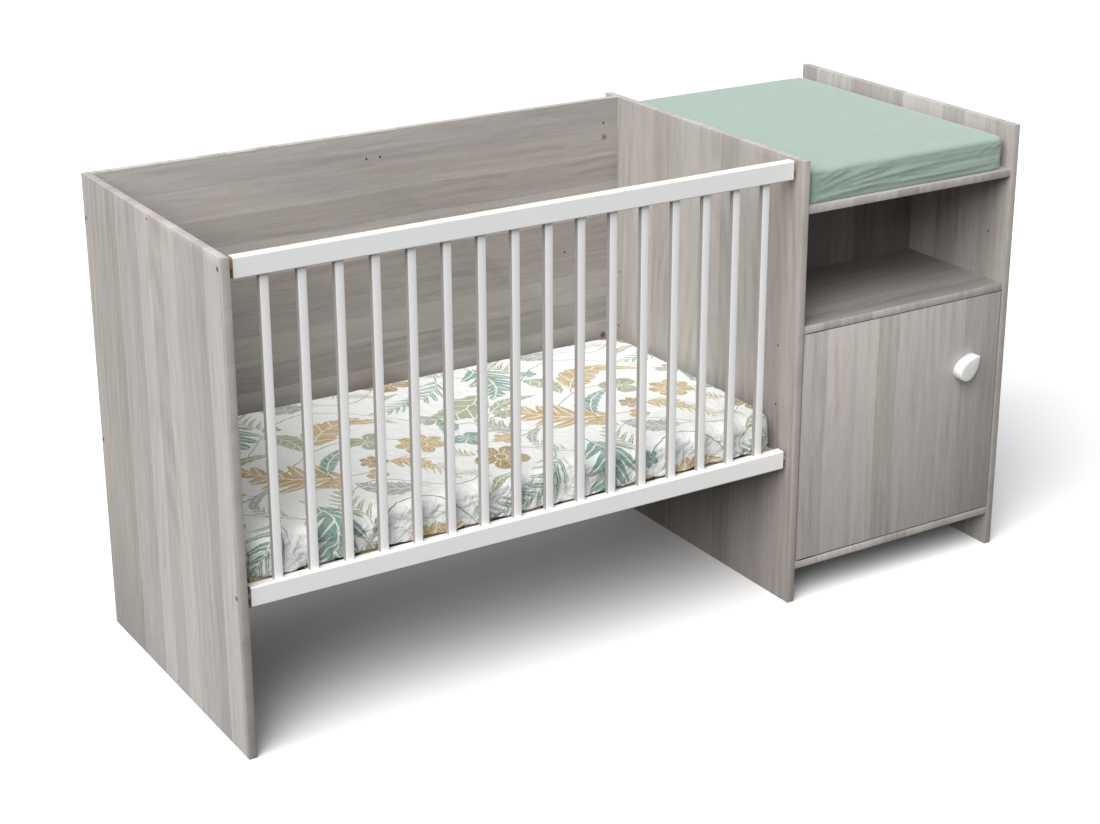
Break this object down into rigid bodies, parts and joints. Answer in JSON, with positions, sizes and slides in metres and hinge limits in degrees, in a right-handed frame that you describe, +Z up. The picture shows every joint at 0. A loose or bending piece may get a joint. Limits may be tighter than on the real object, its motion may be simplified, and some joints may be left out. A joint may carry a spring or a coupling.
{
  "type": "crib with attached changer",
  "caption": "Slatted crib and a changing unit in one frame, with a mattress, a changing pad, an open niche and a cabinet behind a pivoting door.",
  "frame": {"origin": "middle of the footprint's bounding box, on the floor", "axes": "+X along the length from the crib to the changer, +Y from the front to the back, +Z up"},
  "size_m": [1.8, 0.736, 0.96],
  "materials": {
    "wood_decor_board": "matt grey-beige wood decor",
    "white_painted_wood": "satin white lacquer",
    "white_knob": "satin white",
    "raw_wood": "sanded, uncoated",
    "zinc_steel": "zinc plated",
    "white_plastic": "matt",
    "foam": "open-cell foam",
    "printed_cotton": "washed cotton with a leafy print",
    "green_towelling": "smooth knitted towelling"
  },
  "bodies": {
    "frame": {"left_end_panel": "wood_decor_board", "divider_panel": "wood_decor_board", "changer_right_panel": "wood_decor_board", "crib_back_panel": "wood_decor_board", "gate_top_rail": "white_painted_wood", "gate_bottom_rail": "white_painted_wood", "gate_spacers": "white_plastic", "gate_slat_01": "white_painted_wood", "gate_slat_02": "white_painted_wood", "gate_slat_03": "white_painted_wood", "gate_slat_04": "white_painted_wood", "gate_slat_05": "white_painted_wood", "gate_slat_06": "white_painted_wood", "gate_slat_07": "white_painted_wood", "gate_slat_08": "white_painted_wood", "gate_slat_09": "white_painted_wood", "gate_slat_10": "white_painted_wood", "gate_slat_11": "white_painted_wood", "gate_slat_12": "white_painted_wood", "gate_slat_13": "white_painted_wood", "gate_slat_14": "white_painted_wood", "gate_slat_15": "white_painted_wood", "gate_slat_16": "white_painted_wood", "base_front_rail": "raw_wood", "base_back_rail": "raw_wood", "base_slat_screws": "zinc_steel", "base_slat_01": "raw_wood", "base_slat_02": "raw_wood", "base_slat_03": "raw_wood", "base_slat_04": "raw_wood", "base_slat_05": "raw_wood", "base_slat_06": "raw_wood", "base_slat_07": "raw_wood", "base_slat_08": "raw_wood", "base_slat_09": "raw_wood", "base_slat_10": "raw_wood", "base_slat_11": "raw_wood", "changer_top_board": "wood_decor_board", "changer_middle_shelf": "wood_decor_board", "changer_bottom_shelf": "wood_decor_board", "changer_partition": "wood_decor_board", "cam_locks": "zinc_steel", "cam_bolts": "zinc_steel", "wood_dowels": "raw_wood", "panel_screws": "zinc_steel", "frame_hinge_leaves": "zinc_steel", "frame_small_screws": "zinc_steel", "magnet_catch": "white_plastic"},
    "door": {"door_panel": "wood_decor_board", "door_knob": "white_knob", "knob_screw": "zinc_steel", "door_hinge_leaves": "zinc_steel", "door_small_screws": "zinc_steel", "catch_strike": "zinc_steel"},
    "mattress": {"mattress_core": "foam", "fitted_sheet": "printed_cotton"},
    "changing_pad": {"pad_core": "foam", "pad_cover": "green_towelling"}
  },
  "joints": [
    {"name": "door_hinge", "type": "hinge", "parent": "frame", "child": "door", "pos_m": [0.352, -0.337, 0.344], "axis": [0, 0, -1], "range_deg": [0, 100]},
    {"name": "mattress_lift", "type": "slide", "parent": "frame", "child": "mattress", "axis": [0, 0, 1], "range_m": [0, 0.65]},
    {"name": "pad_lift", "type": "slide", "parent": "frame", "child": "changing_pad", "axis": [0, 0, 1], "range_m": [0, 0.12]}
  ]
}
